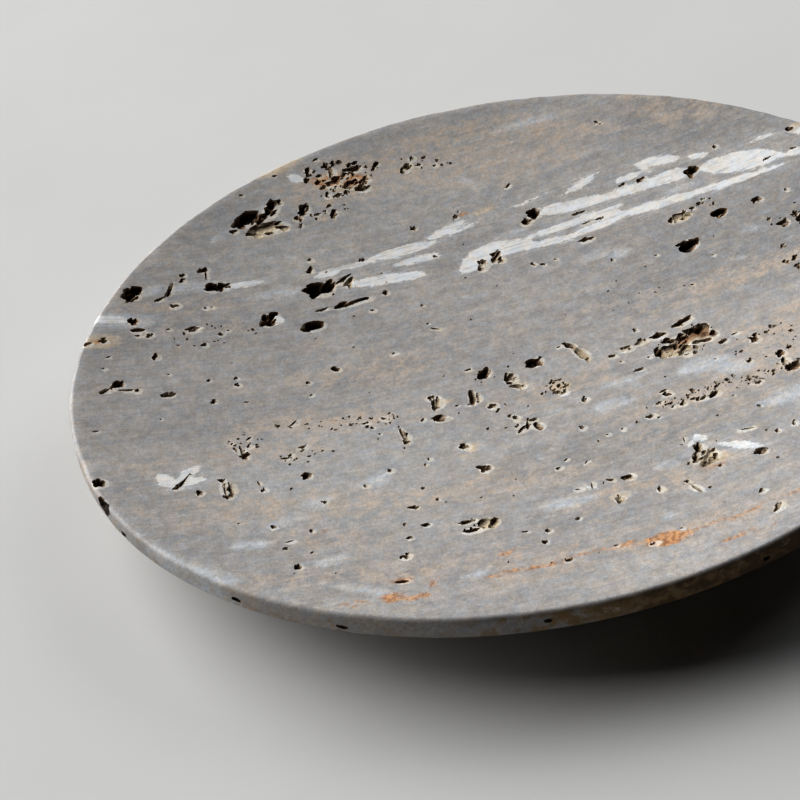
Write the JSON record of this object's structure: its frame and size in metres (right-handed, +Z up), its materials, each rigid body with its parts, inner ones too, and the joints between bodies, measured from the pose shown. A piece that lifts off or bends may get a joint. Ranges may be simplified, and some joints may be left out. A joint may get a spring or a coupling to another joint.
{
  "type": "shallow stone dish",
  "caption": "Shallow round dish turned from grey travertine, with a spherical bowl, an upright edge band and self-adhesive bumpers underneath.",
  "frame": {"origin": "bottom centre, on the surface that the dish stands on, under the middle of the bowl", "axes": "+Z up along the dish's axis of revolution; +X along the stone's bedding layers; +Y across them, away from the viewer"},
  "size_m": [0.18, 0.18, 0.017],
  "materials": {
    "travertine": "honed",
    "bumper": "satin translucent",
    "adhesive": "tacky"
  },
  "bodies": {
    "root": {"stone_dish": "travertine", "bumper_front_right": "bumper", "bumper_back_right": "bumper", "bumper_back_left": "bumper", "bumper_front_left": "bumper", "adhesive_front_right": "adhesive", "adhesive_back_right": "adhesive", "adhesive_back_left": "adhesive", "adhesive_front_left": "adhesive"}
  },
  "joints": []
}
